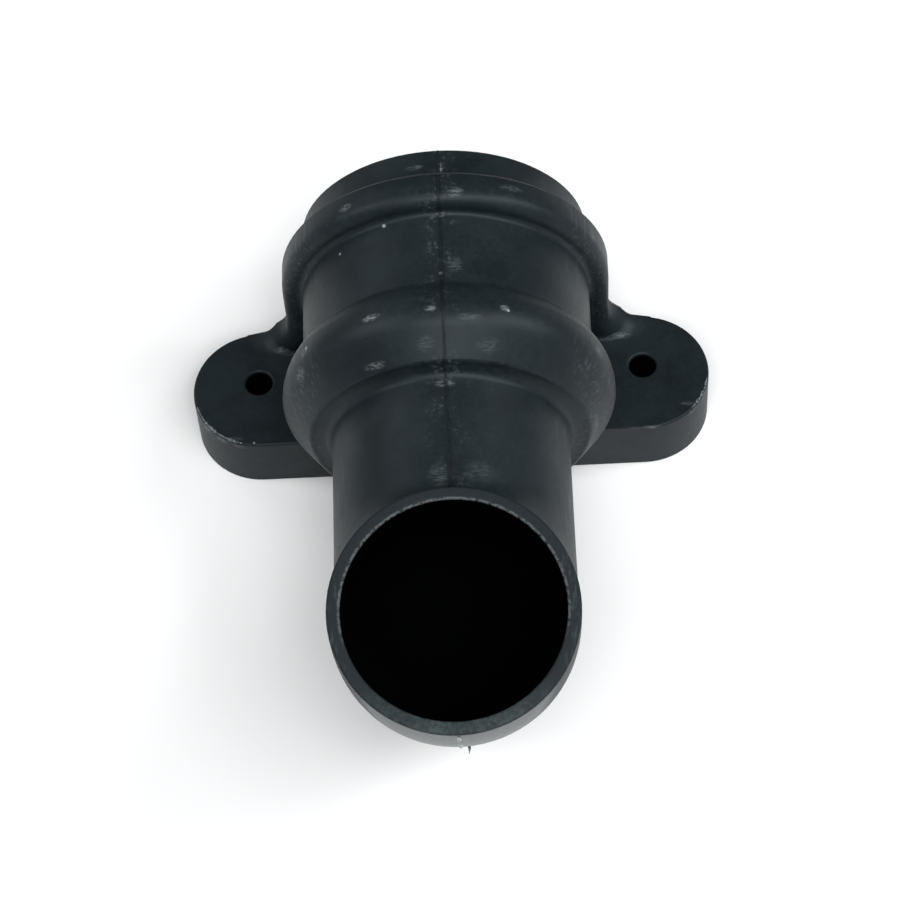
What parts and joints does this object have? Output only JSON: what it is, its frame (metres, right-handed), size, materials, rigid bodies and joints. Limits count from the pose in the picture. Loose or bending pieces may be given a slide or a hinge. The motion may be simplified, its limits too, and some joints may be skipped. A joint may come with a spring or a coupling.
{
  "type": "downpipe shoe",
  "caption": "Round downpipe shoe moulded in one piece: a banded socket with fixing ears takes the pipe above, and a bent outlet throws rainwater clear of the wall.",
  "frame": {"origin": "midpoint between the two fixing holes, on the wall face", "axes": "+Z away from the wall, +Y up the pipe towards the socket mouth, +X across from ear to ear"},
  "size_m": [0.1544, 0.1817, 0.0966],
  "materials": {
    "moulding": "satin charcoal moulded plastic with a fine mould line and pale scuffs"
  },
  "bodies": {
    "root": {"downpipe_shoe": "moulding"}
  },
  "joints": []
}
